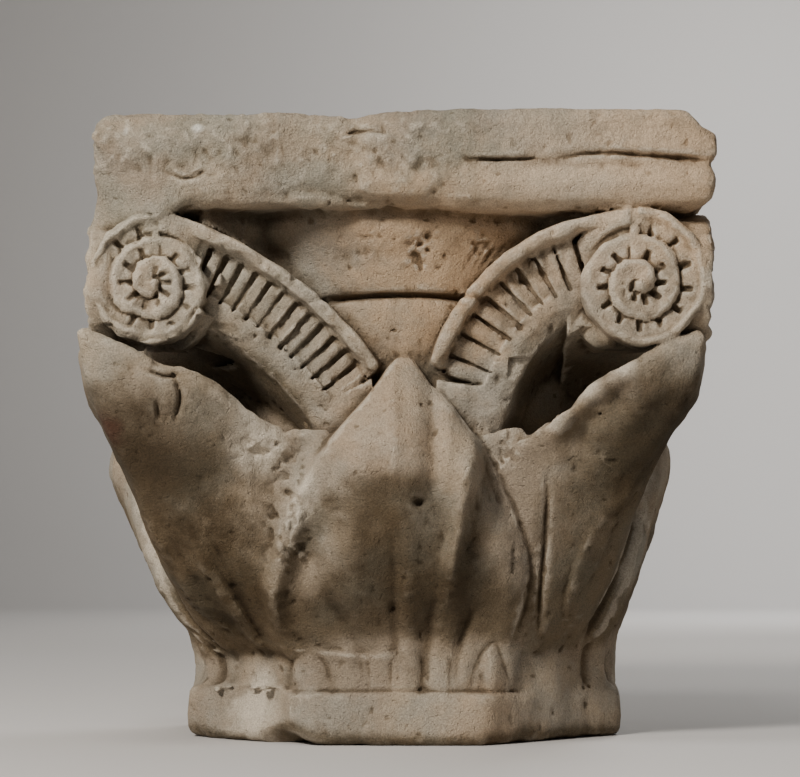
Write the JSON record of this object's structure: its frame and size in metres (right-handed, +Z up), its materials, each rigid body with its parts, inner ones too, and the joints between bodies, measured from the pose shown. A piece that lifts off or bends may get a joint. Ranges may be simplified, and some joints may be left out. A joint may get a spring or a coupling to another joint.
{
  "type": "volute and leaf capital",
  "caption": "Carved stone column capital: square abacus, scrolled volutes at the corners, banded stems and broad leaves over an octagonal neck, worn and chipped.",
  "frame": {"origin": "middle of the underside, on the column's axis", "axes": "+Z up through the top bed, -Y out of the front face, +X to the right seen from the front"},
  "size_m": [0.4081, 0.4105, 0.405],
  "materials": {
    "sandstone": "weathered, sandy, unpolished"
  },
  "bodies": {
    "root": {"capital": "sandstone"}
  },
  "joints": []
}
